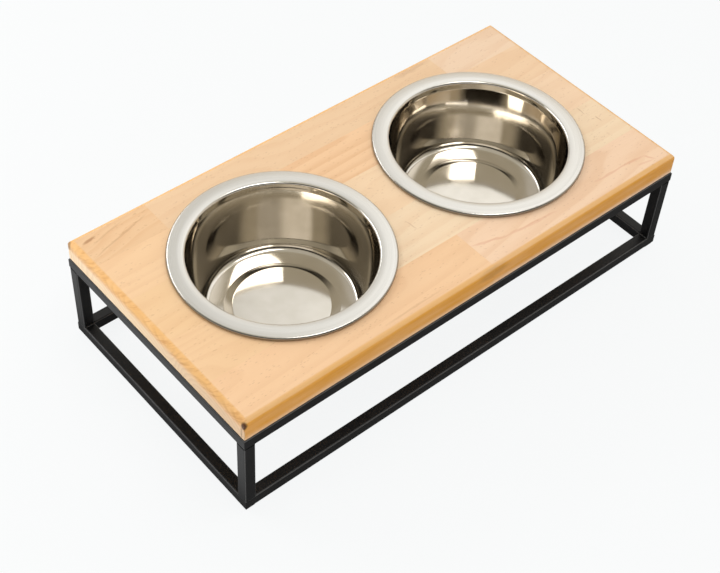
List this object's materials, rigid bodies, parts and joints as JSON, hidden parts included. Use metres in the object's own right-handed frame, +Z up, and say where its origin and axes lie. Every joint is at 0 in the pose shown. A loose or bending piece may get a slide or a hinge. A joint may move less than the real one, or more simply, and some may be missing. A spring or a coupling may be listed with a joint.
{
  "type": "dog bowl stand",
  "caption": "Low raised feeding stand: steel bowls lift out of round holes in a beech board that is screwed to an open welded frame of black square tube.",
  "frame": {"origin": "on the floor, under the middle of the stand", "axes": "+X along the stand's long side, +Y from the front long side to the rear one, +Z up"},
  "size_m": [0.45, 0.224, 0.1093],
  "materials": {
    "beech": "oiled satin",
    "black_frame": "semi-gloss powder coat",
    "bowl_steel": "polished inside, brushed rim",
    "screw_steel": "zinc plated",
    "pad_rubber": "matt"
  },
  "bodies": {
    "stand": {"top_board": "beech", "board_screws": "screw_steel", "corner_welds": "black_frame", "base_rail_front": "black_frame", "base_rail_right": "black_frame", "base_rail_rear": "black_frame", "base_rail_left": "black_frame", "top_rail_front": "black_frame", "top_rail_right": "black_frame", "top_rail_rear": "black_frame", "top_rail_left": "black_frame", "leg_front_left": "black_frame", "leg_front_right": "black_frame", "leg_rear_left": "black_frame", "leg_rear_right": "black_frame", "foot_pad_front_left": "pad_rubber", "foot_pad_front_right": "pad_rubber", "foot_pad_rear_left": "pad_rubber", "foot_pad_rear_right": "pad_rubber"},
    "bowl_left": {"bowl_left": "bowl_steel"},
    "bowl_right": {"bowl_right": "bowl_steel"}
  },
  "joints": [
    {"name": "bowl_left_lift", "type": "slide", "parent": "stand", "child": "bowl_left", "axis": [0, 0, 1], "range_m": [0, 0.08]},
    {"name": "bowl_right_lift", "type": "slide", "parent": "stand", "child": "bowl_right", "axis": [0, 0, 1], "range_m": [0, 0.08]}
  ]
}
